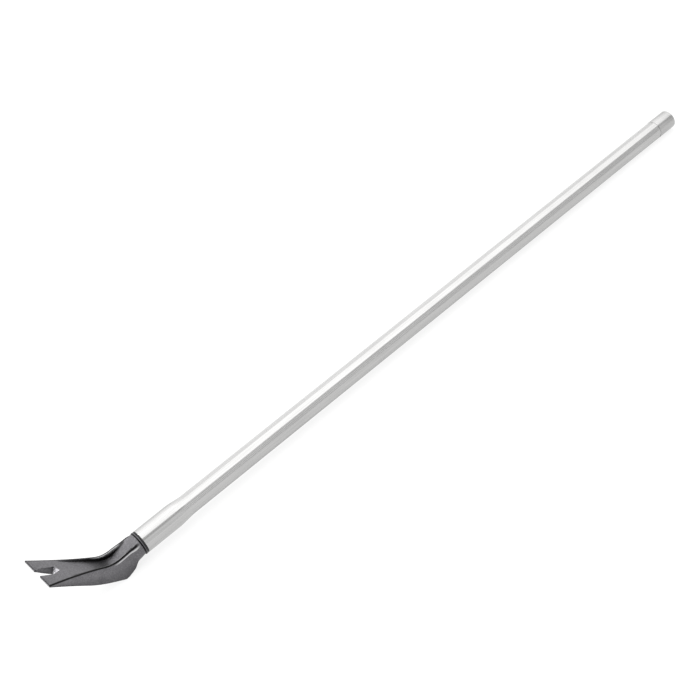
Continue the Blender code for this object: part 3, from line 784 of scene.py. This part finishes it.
class Nodes:
    """Short way to write a material's node tree round its Principled shader."""

    def __init__(self, name, colour, metallic, roughness):
        self.material = bpy.data.materials.new(name)
        self.material.use_nodes = True
        self.tree = self.material.node_tree
        self.shader = self.tree.nodes["Principled BSDF"]
        self.shader.inputs["Base Color"].default_value = (*colour, 1.0)
        self.shader.inputs["Metallic"].default_value = metallic
        self.shader.inputs["Roughness"].default_value = roughness
        world = self.tree.nodes.new("ShaderNodeTexCoord").outputs["Object"]
        along_tool = self.add("ShaderNodeMapping", [("Rotation", (0.0, -REST_TILT, 0.0))],
                              [("Vector", world)])
        self.place = along_tool.outputs["Vector"]
        self.normal = None

    def add(self, kind, values=(), links=()):
        """A new node; values sets its sockets or settings, and links feeds its sockets."""
        node = self.tree.nodes.new(kind)
        for key, value in values:
            if key in node.inputs:
                node.inputs[key].default_value = value
            else:
                setattr(node, key, value)
        for key, source in links:
            self.tree.links.new(source, node.inputs[key])
        return node

    def noise(self, scale, detail=4.0, stretch=(1.0, 1.0, 1.0), roughness=0.5, shift=0.0):
        """Noise along the tool's axes; scale is in lumps per metre, and stretch squeezes each axis."""
        mapping = self.add("ShaderNodeMapping", [("Scale", stretch), ("Location", (shift,) * 3)],
                           [("Vector", self.place)])
        values = [("Scale", scale), ("Detail", detail), ("Roughness", roughness)]
        links = [("Vector", mapping.outputs["Vector"])]
        return self.add("ShaderNodeTexNoise", values, links).outputs["Fac"]

    def ramp(self, source, stops):
        """Map a value to colours or greys; stops are (position, colour or grey)."""
        node = self.add("ShaderNodeValToRGB", links=[("Fac", source)])
        elements = node.color_ramp.elements
        while len(elements) < len(stops):
            elements.new(0.5)
        for element, (position, tone) in zip(elements, stops):
            element.position = position
            element.color = (*tone, 1.0) if isinstance(tone, tuple) else (tone, tone, tone, 1.0)
        return node.outputs["Color"]

    def mix(self, share, first, second, blend="MIX"):
        """Blend two colours; each of share, first and second is a socket or a fixed value."""
        node = self.add("ShaderNodeMix", [("data_type", "RGBA"), ("blend_type", blend)])
        sockets = (node.inputs[0], node.inputs[6], node.inputs[7])
        for socket, value in zip(sockets, (share, first, second)):
            if isinstance(value, bpy.types.NodeSocket):
                self.tree.links.new(value, socket)
            else:
                socket.default_value = value
        return node.outputs[2]

    def mark(self, name):
        """A value stored on the mesh's points."""
        return self.add("ShaderNodeAttribute", [("attribute_name", name)]).outputs["Fac"]

    def tone(self, colour, source, stops, share=1.0):
        """Multiply a colour by the tones that stops gives a value."""
        return self.mix(share, colour, self.ramp(source, stops), "MULTIPLY")

    def bump(self, height, depth):
        """Raise the surface by height times depth in metres, on top of any earlier bump."""
        links = [("Height", height)]
        if self.normal:
            links.append(("Normal", self.normal))
        self.normal = self.add("ShaderNodeBump", [("Distance", depth)], links).outputs["Normal"]

    def set(self, socket, source):
        """Feed one of the shader's sockets."""
        self.tree.links.new(source, self.shader.inputs[socket])

    def done(self):
        """Feed the bumps to the shader and return the material."""
        if self.normal:
            self.set("Normal", self.normal)
        return self.material


def cast_material():
    """Dark satin metallic coat over a cast head: fine grain, slow mottling, painted shade near-black along
    edges and darker in the channel and low down, and painted highlights along the rims.
    """
    nodes = Nodes("cast_satin_grey", CAST_COLOUR, 0.9, 0.42)
    grain = nodes.noise(480, detail=6, roughness=0.7)
    lumps = nodes.noise(420, detail=5, shift=3.0)
    mottle = nodes.noise(55, detail=6, shift=7.0)
    colour = nodes.ramp(mottle, ((0.30, CAST_DARK), (0.72, CAST_LIGHT)))
    colour = nodes.tone(colour, grain, ((0.34, 0.64), (0.66, 1.30)), 0.9)
    # Painted shade from the head's marks, and the shoulder bead's darker tone
    for name, stops in CAST_MARK_TONES.items():
        colour = nodes.tone(colour, nodes.mark(name), stops)
    # Painted highlights along the rims and the neck's side
    colour = nodes.mix(nodes.mark("painted_highlight"), colour, HIGHLIGHT_COLOUR)
    nodes.set("Base Color", colour)
    nodes.set("Roughness", nodes.ramp(lumps, ((0.3, 0.34), (0.7, 0.50))))
    nodes.bump(lumps, 0.00004)
    nodes.bump(grain, 0.00003)
    return nodes.done()


def drawn_material(name, colour, roughness, streak=1.0):
    """Drawn aluminium: long fine streaks along the handle, cloudy oxide, and grooves darkened with painted
    shade.
    """
    low, high = roughness
    nodes = Nodes(name, colour, 1.0, (low + high) / 2)
    fine = nodes.noise(2400, detail=3, stretch=(0.006, 1, 1))
    broad = nodes.noise(500, detail=4, stretch=(0.02, 1, 1), shift=2.0)
    cloud = nodes.noise(24, detail=5, shift=5.0)
    dark, light = tuple(0.93 * c for c in colour), tuple(1.04 * c for c in colour)
    tone = nodes.ramp(broad, ((0.30, dark), (0.70, light)))
    tone = nodes.tone(tone, cloud, ((0.3, 0.88), (0.7, 1.0)), 0.35)
    # Painted shade in the grooves
    tone = nodes.tone(tone, nodes.mark("groove"), ((0.0, 1.0), (1.0, GROOVE_SHADE_TONE)))
    nodes.set("Base Color", tone)
    nodes.set("Roughness", nodes.ramp(fine, ((0.3, low), (0.7, high))))
    nodes.bump(fine, 0.000012 * streak)
    nodes.bump(broad, 0.000010 * streak)
    return nodes.done()


def nylon_material():
    """Black moulded nylon with a fine spark-eroded texture."""
    nodes = Nodes("black_nylon", NYLON_COLOUR, 0.0, 0.5)
    grain = nodes.noise(3200, detail=2)
    tint = nodes.noise(120, detail=4, shift=4.0)
    nodes.set("Base Color", nodes.ramp(tint, ((0.3, NYLON_DARK), (0.7, NYLON_LIGHT))))
    nodes.set("Roughness", nodes.ramp(grain, ((0.3, 0.42), (0.7, 0.62))))
    nodes.bump(grain, 0.00003)
    return nodes.done()


def steel_material():
    """Plated rivet steel with fine tumbling marks."""
    nodes = Nodes("rivet_steel", STEEL_COLOUR, 1.0, 0.35)
    marks = nodes.noise(1800, detail=5)
    cloud = nodes.noise(260, detail=4, shift=6.0)
    nodes.set("Base Color", nodes.ramp(cloud, ((0.3, STEEL_DARK), (0.7, STEEL_LIGHT))))
    nodes.set("Roughness", nodes.ramp(marks, ((0.3, 0.28), (0.7, 0.46))))
    nodes.bump(marks, 0.00002)
    return nodes.done()


# ---------------------------------------------------------------- studio

def make_floor():
    """A plain near-white floor, big enough to fill every view."""
    shape = bmesh.new()
    bmesh.ops.create_grid(shape, x_segments=8, y_segments=8, size=FLOOR_SIZE / 2)
    floor = finish_mesh("studio_floor", shape)
    nodes = Nodes("floor_paper", (FLOOR_TONE,) * 3, 0.0, 0.9)
    nodes.shader.inputs["Specular IOR Level"].default_value = 0.0
    nodes.shader.inputs["Emission Color"].default_value = (1.0, 1.0, 1.0, 1.0)
    nodes.shader.inputs["Emission Strength"].default_value = FLOOR_GLOW
    floor.data.materials.append(nodes.done())


def make_softbox(name, place, size_x, size_y, brightness, aim):
    """A rectangular soft light of a given brightness, facing aim."""
    light = bpy.data.lights.new(name, "AREA")
    light.shape = "RECTANGLE"
    light.size = size_x
    light.size_y = size_y
    light.energy = brightness * math.pi * size_x * size_y
    lamp = bpy.data.objects.new(name, light)
    lamp.location = place
    lamp.rotation_euler = (aim - place).to_track_quat("-Z", "Y").to_euler()
    lamp.visible_camera = False
    bpy.context.scene.collection.objects.link(lamp)


def make_cove():
    """Soft light from all round, brightest overhead, with a dark gap above the front."""
    world = bpy.data.worlds.new("studio")
    world.use_nodes = True
    tree = world.node_tree
    place = tree.nodes.new("ShaderNodeTexCoord")
    axes = tree.nodes.new("ShaderNodeSeparateXYZ")
    tree.links.new(place.outputs["Generated"], axes.inputs[0])
    angle = tree.nodes.new("ShaderNodeMath")
    angle.operation = "ARCTAN2"
    tree.links.new(axes.outputs["Y"], angle.inputs[0])
    tree.links.new(axes.outputs["Z"], angle.inputs[1])
    share = tree.nodes.new("ShaderNodeMapRange")
    for socket, value in zip(RANGE_SOCKETS, (math.pi, -math.pi, 0.0, 1.0)):
        share.inputs[socket].default_value = value
    tree.links.new(angle.outputs[0], share.inputs["Value"])
    cove = tree.nodes.new("ShaderNodeValToRGB")
    while len(cove.color_ramp.elements) < len(COVE):
        cove.color_ramp.elements.new(0.5)
    brightest = max(brightness for _, brightness in COVE)
    for element, (degrees, brightness) in zip(cove.color_ramp.elements, COVE):
        element.position = (degrees + 180) / 360
        element.color = (*(brightness / brightest,) * 3, 1.0)
    tree.links.new(share.outputs["Result"], cove.inputs["Fac"])
    falloff = tree.nodes.new("ShaderNodeMapRange")
    falloff.interpolation_type = "SMOOTHSTEP"
    for socket, value in zip(RANGE_SOCKETS, COVE_FALLOFF):
        falloff.inputs[socket].default_value = value
    tree.links.new(axes.outputs["X"], falloff.inputs["Value"])
    shade = tree.nodes.new("ShaderNodeVectorMath")
    shade.operation = "SCALE"
    tree.links.new(cove.outputs["Color"], shade.inputs[0])
    tree.links.new(falloff.outputs["Result"], shade.inputs["Scale"])
    tree.links.new(shade.outputs[0], tree.nodes["Background"].inputs["Color"])
    tree.nodes["Background"].inputs["Strength"].default_value = brightest
    bpy.context.scene.world = world


def make_camera():
    """The scene's camera, from where it stands, where it points and how it is rolled."""
    camera = bpy.data.cameras.new("camera")
    camera.lens = LENS
    camera.sensor_width = SENSOR_WIDTH
    holder = bpy.data.objects.new("camera", camera)
    forward = Vector((math.sin(CAMERA_HEADING) * math.cos(CAMERA_DIP),
                      math.cos(CAMERA_HEADING) * math.cos(CAMERA_DIP), -math.sin(CAMERA_DIP)))
    level = forward.cross(Vector((0, 0, 1))).normalized()
    upright = level.cross(forward)
    right = level * math.cos(CAMERA_ROLL) - upright * math.sin(CAMERA_ROLL)
    up = right.cross(forward)
    turn = Matrix((right, up, -forward)).transposed()
    holder.matrix_world = Matrix.Translation(CAMERA_PLACE) @ turn.to_4x4()
    bpy.context.scene.collection.objects.link(holder)
    bpy.context.scene.camera = holder


def fit(piece, place, material, slot, *nodes):
    """Put a finished piece in the world as the stand-in for its CAD nodes."""
    piece.data.transform(place)
    piece.data.materials.clear()
    piece.data.materials.append(material)
    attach(piece, "root")
    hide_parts(*nodes)


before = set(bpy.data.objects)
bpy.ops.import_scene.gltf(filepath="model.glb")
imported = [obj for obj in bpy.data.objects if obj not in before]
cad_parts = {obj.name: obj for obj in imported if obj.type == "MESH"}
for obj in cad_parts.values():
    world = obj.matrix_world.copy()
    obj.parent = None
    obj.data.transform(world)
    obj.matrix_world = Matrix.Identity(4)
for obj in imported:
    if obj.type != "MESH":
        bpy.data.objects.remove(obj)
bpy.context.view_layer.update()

tool_place = tool_frame()
steel = steel_material()
fit(make_head(), tool_place, cast_material(), "cast_head", "head_casting")
fit(make_tube(), tool_place, drawn_material("drawn_aluminium", TUBE_COLOUR, TUBE_ROUGHNESS),
    "aluminium_tube", "handle_tube")
fit(make_liner(), tool_place, nylon_material(), "black_nylon", "collar_liner")
fit(make_end_cap(), tool_place, drawn_material("cap_aluminium", CAP_COLOUR, CAP_ROUGHNESS, CAP_STREAK),
    "cap_metal", "end_cap")
for where, reach in RIVET_REACHES.items():
    fit(make_rivet(where, reach), tool_place, steel, "rivet_metal", "rivet_body_" + where)
    fit(make_mandrel(where, reach), tool_place, steel, "rivet_metal", "rivet_mandrel_" + where)

make_floor()
make_cove()
make_softbox("side_panel", SIDE_PANEL_PLACE, SIDE_PANEL_WIDTH, SIDE_PANEL_HEIGHT, SIDE_PANEL_BRIGHTNESS,
             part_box("head_casting")[0])
make_camera()
bpy.context.scene.view_settings.view_transform = "Standard"
